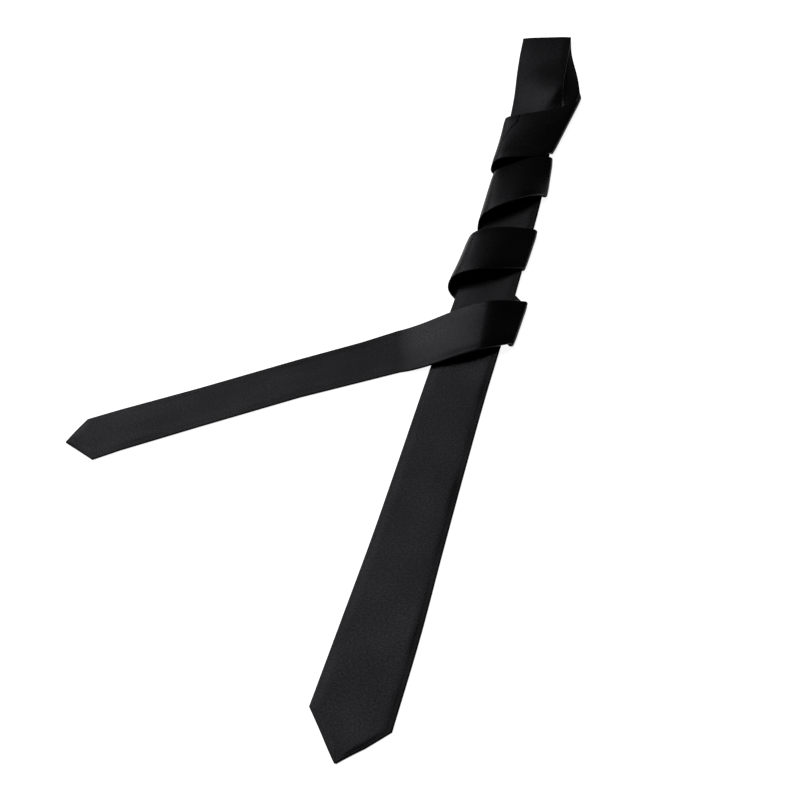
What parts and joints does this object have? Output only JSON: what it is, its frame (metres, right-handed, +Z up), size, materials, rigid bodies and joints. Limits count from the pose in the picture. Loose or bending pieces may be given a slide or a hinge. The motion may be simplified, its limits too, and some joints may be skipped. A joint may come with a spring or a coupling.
{
  "type": "skinny tie",
  "caption": "Narrow pointed necktie laid flat, folded at the top, with its narrow half wound round the blade and the tail led out to one side.",
  "frame": {"origin": "centre of the bounding box's floor, on the table the tie lies on", "axes": "+Z up from the table, +Y along the blade from its point to the fold at its top, +X to the right of the blade, so the tail runs out toward -X"},
  "size_m": [0.2798, 0.614, 0.0175],
  "materials": {
    "cloth": "black satin weave, pressed"
  },
  "bodies": {
    "root": {"blade": "cloth", "neck": "cloth", "tail": "cloth"}
  },
  "joints": []
}
